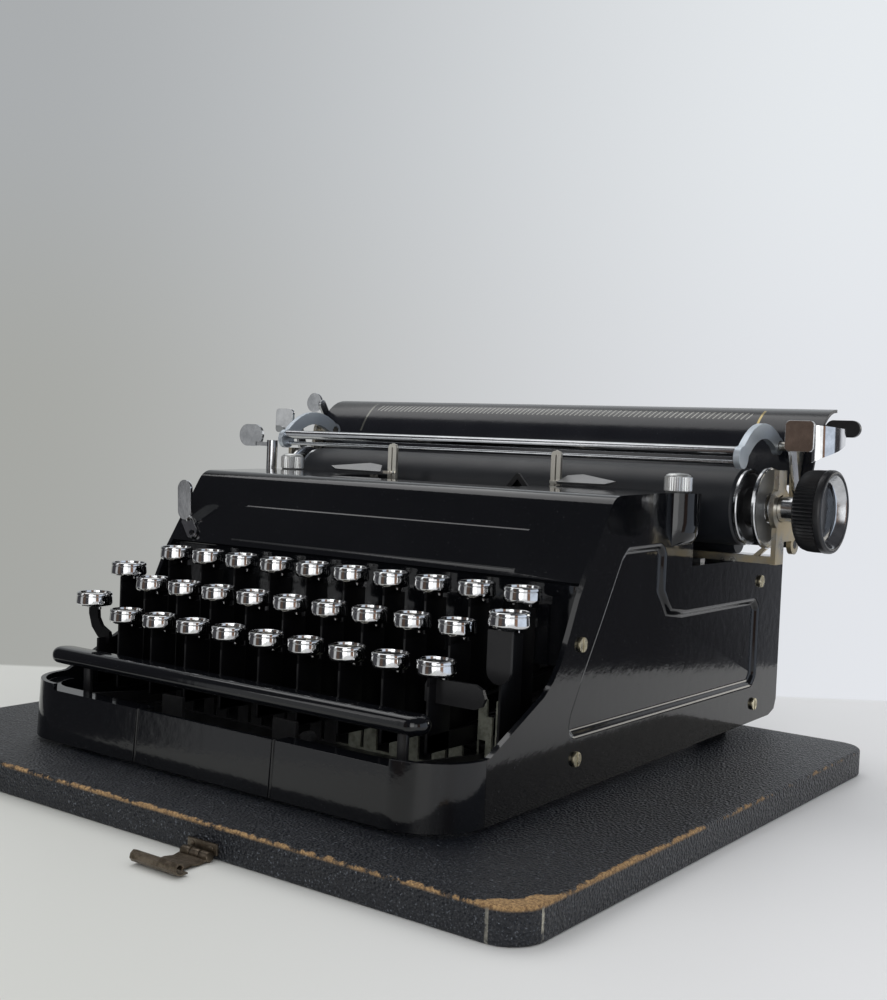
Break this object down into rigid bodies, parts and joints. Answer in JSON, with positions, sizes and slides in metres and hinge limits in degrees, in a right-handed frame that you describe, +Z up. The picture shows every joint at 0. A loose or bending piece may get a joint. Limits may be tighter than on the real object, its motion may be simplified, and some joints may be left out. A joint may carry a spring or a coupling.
{
  "type": "portable typewriter",
  "caption": "Portable typewriter in black enamel on its case board: three key rows, sliding carriage with platen, knob, paper table and bail.",
  "frame": {"origin": "underside of the case board, under the middle of the keyboard and midway between the latch and the machine's back", "axes": "+X to the typist's right along the keyboard, +Y from the keyboard towards the carriage, +Z up"},
  "size_m": [0.3076, 0.3, 0.1539],
  "materials": {
    "leathercloth_board": "leathercloth grain",
    "latch_steel": "worn",
    "foot_rubber": "matt",
    "black_enamel": "gloss",
    "brass_screws": "aged",
    "nickel_trim": "bright",
    "key_nickel": "bright, with a glazed top",
    "bar_black": "gloss",
    "guide_paint": "satin",
    "basket_steel": "satin",
    "spool_black": "satin",
    "rail_steel": "bright",
    "frame_metal": "aged plating",
    "platen_rubber": "satin",
    "knob_black": "satin, ribbed",
    "table_enamel": "gloss",
    "bail_metal": "cast, satin",
    "drive_steel": "aged"
  },
  "bodies": {
    "machine": {"case_board": "leathercloth_board", "feet": "foot_rubber", "base_pan": "black_enamel", "front_rail": "black_enamel", "side_panel_left": "black_enamel", "side_panel_right": "black_enamel", "hood": "black_enamel", "rear_deck": "black_enamel", "side_screws": "brass_screws", "hood_nuts": "nickel_trim", "lever_guides": "guide_paint", "type_basket": "basket_steel", "carriage_rails": "rail_steel", "drive_unit": "drive_steel"},
    "key_a1": {"key_a1": "key_nickel"},
    "key_a2": {"key_a2": "key_nickel"},
    "key_a3": {"key_a3": "key_nickel"},
    "key_a4": {"key_a4": "key_nickel"},
    "key_a5": {"key_a5": "key_nickel"},
    "key_a6": {"key_a6": "key_nickel"},
    "key_a7": {"key_a7": "key_nickel"},
    "key_a8": {"key_a8": "key_nickel"},
    "key_a9": {"key_a9": "key_nickel"},
    "key_a10": {"key_a10": "key_nickel"},
    "key_b1": {"key_b1": "key_nickel"},
    "key_b2": {"key_b2": "key_nickel"},
    "key_b3": {"key_b3": "key_nickel"},
    "key_b4": {"key_b4": "key_nickel"},
    "key_b5": {"key_b5": "key_nickel"},
    "key_b6": {"key_b6": "key_nickel"},
    "key_b7": {"key_b7": "key_nickel"},
    "key_b8": {"key_b8": "key_nickel"},
    "key_b9": {"key_b9": "key_nickel"},
    "key_c1": {"key_c1": "key_nickel"},
    "key_c2": {"key_c2": "key_nickel"},
    "key_c3": {"key_c3": "key_nickel"},
    "key_c4": {"key_c4": "key_nickel"},
    "key_c5": {"key_c5": "key_nickel"},
    "key_c6": {"key_c6": "key_nickel"},
    "key_c7": {"key_c7": "key_nickel"},
    "key_c8": {"key_c8": "key_nickel"},
    "key_c9": {"key_c9": "key_nickel"},
    "left_shift_key": {"left_shift_key": "key_nickel"},
    "right_shift_key": {"right_shift_key": "key_nickel"},
    "shift_lock_key": {"shift_lock_key": "key_nickel"},
    "space_bar": {"space_bar": "bar_black"},
    "latch": {"latch_hasp": "latch_steel"},
    "left_spool": {"ribbon_spool_left": "spool_black"},
    "right_spool": {"ribbon_spool_right": "spool_black"},
    "ribbon_lever": {"ribbon_lever": "nickel_trim"},
    "carriage": {"carriage_frame": "frame_metal", "paper_table": "table_enamel"},
    "platen": {"platen": "platen_rubber", "platen_knob": "knob_black"},
    "feed_roller": {"feed_roller": "platen_rubber"},
    "paper_bail": {"paper_bail": "bail_metal"},
    "line_space_lever": {"line_space_lever": "nickel_trim"},
    "carriage_release": {"carriage_release": "nickel_trim"},
    "paper_release": {"paper_release": "table_enamel", "paper_release_leaf": "nickel_trim"}
  },
  "joints": [
    {"name": "key_a1_press", "type": "hinge", "parent": "machine", "child": "key_a1", "pos_m": [0, 0.11, 0.045], "axis": [1, 0, 0], "range_deg": [0, 2.3], "stiffness_Nm_per_rad": 0.6, "springref_deg": -5.73},
    {"name": "key_a2_press", "type": "hinge", "parent": "machine", "child": "key_a2", "pos_m": [0, 0.11, 0.045], "axis": [1, 0, 0], "range_deg": [0, 2.3], "stiffness_Nm_per_rad": 0.6, "springref_deg": -5.73},
    {"name": "key_a3_press", "type": "hinge", "parent": "machine", "child": "key_a3", "pos_m": [0, 0.11, 0.045], "axis": [1, 0, 0], "range_deg": [0, 2.3], "stiffness_Nm_per_rad": 0.6, "springref_deg": -5.73},
    {"name": "key_a4_press", "type": "hinge", "parent": "machine", "child": "key_a4", "pos_m": [0, 0.11, 0.045], "axis": [1, 0, 0], "range_deg": [0, 2.3], "stiffness_Nm_per_rad": 0.6, "springref_deg": -5.73},
    {"name": "key_a5_press", "type": "hinge", "parent": "machine", "child": "key_a5", "pos_m": [0, 0.11, 0.045], "axis": [1, 0, 0], "range_deg": [0, 2.3], "stiffness_Nm_per_rad": 0.6, "springref_deg": -5.73},
    {"name": "key_a6_press", "type": "hinge", "parent": "machine", "child": "key_a6", "pos_m": [0, 0.11, 0.045], "axis": [1, 0, 0], "range_deg": [0, 2.3], "stiffness_Nm_per_rad": 0.6, "springref_deg": -5.73},
    {"name": "key_a7_press", "type": "hinge", "parent": "machine", "child": "key_a7", "pos_m": [0, 0.11, 0.045], "axis": [1, 0, 0], "range_deg": [0, 2.3], "stiffness_Nm_per_rad": 0.6, "springref_deg": -5.73},
    {"name": "key_a8_press", "type": "hinge", "parent": "machine", "child": "key_a8", "pos_m": [0, 0.11, 0.045], "axis": [1, 0, 0], "range_deg": [0, 2.3], "stiffness_Nm_per_rad": 0.6, "springref_deg": -5.73},
    {"name": "key_a9_press", "type": "hinge", "parent": "machine", "child": "key_a9", "pos_m": [0, 0.11, 0.045], "axis": [1, 0, 0], "range_deg": [0, 2.3], "stiffness_Nm_per_rad": 0.6, "springref_deg": -5.73},
    {"name": "key_a10_press", "type": "hinge", "parent": "machine", "child": "key_a10", "pos_m": [0, 0.11, 0.045], "axis": [1, 0, 0], "range_deg": [0, 2.3], "stiffness_Nm_per_rad": 0.6, "springref_deg": -5.73},
    {"name": "key_b1_press", "type": "hinge", "parent": "machine", "child": "key_b1", "pos_m": [0, 0.11, 0.045], "axis": [1, 0, 0], "range_deg": [0, 2.1], "stiffness_Nm_per_rad": 0.6, "springref_deg": -5.73},
    {"name": "key_b2_press", "type": "hinge", "parent": "machine", "child": "key_b2", "pos_m": [0, 0.11, 0.045], "axis": [1, 0, 0], "range_deg": [0, 2.1], "stiffness_Nm_per_rad": 0.6, "springref_deg": -5.73},
    {"name": "key_b3_press", "type": "hinge", "parent": "machine", "child": "key_b3", "pos_m": [0, 0.11, 0.045], "axis": [1, 0, 0], "range_deg": [0, 2.1], "stiffness_Nm_per_rad": 0.6, "springref_deg": -5.73},
    {"name": "key_b4_press", "type": "hinge", "parent": "machine", "child": "key_b4", "pos_m": [0, 0.11, 0.045], "axis": [1, 0, 0], "range_deg": [0, 2.1], "stiffness_Nm_per_rad": 0.6, "springref_deg": -5.73},
    {"name": "key_b5_press", "type": "hinge", "parent": "machine", "child": "key_b5", "pos_m": [0, 0.11, 0.045], "axis": [1, 0, 0], "range_deg": [0, 2.1], "stiffness_Nm_per_rad": 0.6, "springref_deg": -5.73},
    {"name": "key_b6_press", "type": "hinge", "parent": "machine", "child": "key_b6", "pos_m": [0, 0.11, 0.045], "axis": [1, 0, 0], "range_deg": [0, 2.1], "stiffness_Nm_per_rad": 0.6, "springref_deg": -5.73},
    {"name": "key_b7_press", "type": "hinge", "parent": "machine", "child": "key_b7", "pos_m": [0, 0.11, 0.045], "axis": [1, 0, 0], "range_deg": [0, 2.1], "stiffness_Nm_per_rad": 0.6, "springref_deg": -5.73},
    {"name": "key_b8_press", "type": "hinge", "parent": "machine", "child": "key_b8", "pos_m": [0, 0.11, 0.045], "axis": [1, 0, 0], "range_deg": [0, 2.1], "stiffness_Nm_per_rad": 0.6, "springref_deg": -5.73},
    {"name": "key_b9_press", "type": "hinge", "parent": "machine", "child": "key_b9", "pos_m": [0, 0.11, 0.045], "axis": [1, 0, 0], "range_deg": [0, 2.1], "stiffness_Nm_per_rad": 0.6, "springref_deg": -5.73},
    {"name": "key_c1_press", "type": "hinge", "parent": "machine", "child": "key_c1", "pos_m": [0, 0.11, 0.045], "axis": [1, 0, 0], "range_deg": [0, 1.9], "stiffness_Nm_per_rad": 0.6, "springref_deg": -5.73},
    {"name": "key_c2_press", "type": "hinge", "parent": "machine", "child": "key_c2", "pos_m": [0, 0.11, 0.045], "axis": [1, 0, 0], "range_deg": [0, 1.9], "stiffness_Nm_per_rad": 0.6, "springref_deg": -5.73},
    {"name": "key_c3_press", "type": "hinge", "parent": "machine", "child": "key_c3", "pos_m": [0, 0.11, 0.045], "axis": [1, 0, 0], "range_deg": [0, 1.9], "stiffness_Nm_per_rad": 0.6, "springref_deg": -5.73},
    {"name": "key_c4_press", "type": "hinge", "parent": "machine", "child": "key_c4", "pos_m": [0, 0.11, 0.045], "axis": [1, 0, 0], "range_deg": [0, 1.9], "stiffness_Nm_per_rad": 0.6, "springref_deg": -5.73},
    {"name": "key_c5_press", "type": "hinge", "parent": "machine", "child": "key_c5", "pos_m": [0, 0.11, 0.045], "axis": [1, 0, 0], "range_deg": [0, 1.9], "stiffness_Nm_per_rad": 0.6, "springref_deg": -5.73},
    {"name": "key_c6_press", "type": "hinge", "parent": "machine", "child": "key_c6", "pos_m": [0, 0.11, 0.045], "axis": [1, 0, 0], "range_deg": [0, 1.9], "stiffness_Nm_per_rad": 0.6, "springref_deg": -5.73},
    {"name": "key_c7_press", "type": "hinge", "parent": "machine", "child": "key_c7", "pos_m": [0, 0.11, 0.045], "axis": [1, 0, 0], "range_deg": [0, 1.9], "stiffness_Nm_per_rad": 0.6, "springref_deg": -5.73},
    {"name": "key_c8_press", "type": "hinge", "parent": "machine", "child": "key_c8", "pos_m": [0, 0.11, 0.045], "axis": [1, 0, 0], "range_deg": [0, 1.9], "stiffness_Nm_per_rad": 0.6, "springref_deg": -5.73},
    {"name": "key_c9_press", "type": "hinge", "parent": "machine", "child": "key_c9", "pos_m": [0, 0.11, 0.045], "axis": [1, 0, 0], "range_deg": [0, 1.9], "stiffness_Nm_per_rad": 0.6, "springref_deg": -5.73},
    {"name": "left_shift_key_press", "type": "hinge", "parent": "machine", "child": "left_shift_key", "pos_m": [0, 0.11, 0.045], "axis": [1, 0, 0], "range_deg": [0, 2.1], "stiffness_Nm_per_rad": 0.6, "springref_deg": -5.73},
    {"name": "right_shift_key_press", "type": "hinge", "parent": "machine", "child": "right_shift_key", "pos_m": [0, 0.11, 0.045], "axis": [1, 0, 0], "range_deg": [0, 2.1], "stiffness_Nm_per_rad": 0.6, "springref_deg": -5.73},
    {"name": "shift_lock_key_press", "type": "hinge", "parent": "machine", "child": "shift_lock_key", "pos_m": [0, 0.11, 0.045], "axis": [1, 0, 0], "range_deg": [0, 1.9], "stiffness_Nm_per_rad": 0.6, "springref_deg": -5.73},
    {"name": "space_bar_press", "type": "hinge", "parent": "machine", "child": "space_bar", "pos_m": [0, -0.02, 0.0208], "axis": [1, 0, 0], "range_deg": [0, 4], "stiffness_Nm_per_rad": 0.5, "springref_deg": -6.88},
    {"name": "latch_fold", "type": "hinge", "parent": "machine", "child": "latch", "pos_m": [0.033, -0.1319, 0.0016], "axis": [-1, 0, 0], "range_deg": [0, 90]},
    {"name": "left_spool_turn", "type": "hinge", "parent": "machine", "child": "left_spool", "pos_m": [-0.074, 0.03, 0.095], "axis": [0, 0, 1], "continuous": true},
    {"name": "right_spool_turn", "type": "hinge", "parent": "machine", "child": "right_spool", "pos_m": [0.074, 0.03, 0.095], "axis": [0, 0, 1], "continuous": true},
    {"name": "ribbon_lever_swing", "type": "hinge", "parent": "machine", "child": "ribbon_lever", "pos_m": [-0.09, -0.02268, 0.08726], "axis": [0, -0.8496, 0.5274], "range_deg": [-10, 12]},
    {"name": "carriage_travel", "type": "slide", "parent": "machine", "child": "carriage", "axis": [1, 0, 0], "range_m": [-0.095, 0.095]},
    {"name": "platen_turn", "type": "hinge", "parent": "carriage", "child": "platen", "pos_m": [0, 0.08, 0.11], "axis": [1, 0, 0], "continuous": true},
    {"name": "feed_roller_turn", "type": "hinge", "parent": "carriage", "child": "feed_roller", "pos_m": [0, 0.0955, 0.0955], "axis": [1, 0, 0], "continuous": true},
    {"name": "paper_bail_lift", "type": "hinge", "parent": "carriage", "child": "paper_bail", "pos_m": [0, 0.098, 0.1345], "axis": [-1, 0, 0], "range_deg": [0, 60]},
    {"name": "line_space_pull", "type": "hinge", "parent": "carriage", "child": "line_space_lever", "pos_m": [-0.1357, 0.071, 0.109], "axis": [0, 0, 1], "range_deg": [0, 35], "stiffness_Nm_per_rad": 0.05, "springref_deg": -17.19},
    {"name": "carriage_release_press", "type": "hinge", "parent": "carriage", "child": "carriage_release", "pos_m": [0, 0.106, 0.104], "axis": [-1, 0, 0], "range_deg": [0, 8], "stiffness_Nm_per_rad": 0.2, "springref_deg": -11.46},
    {"name": "paper_release_pull", "type": "hinge", "parent": "carriage", "child": "paper_release", "pos_m": [0, 0.114, 0.136], "axis": [1, 0, 0], "range_deg": [0, 12]}
  ],
  "couplings": [
    {"joint": "feed_roller_turn", "follows": "platen_turn", "ratio": -2.8572},
    {"joint": "right_spool_turn", "follows": "left_spool_turn", "ratio": 1}
  ]
}
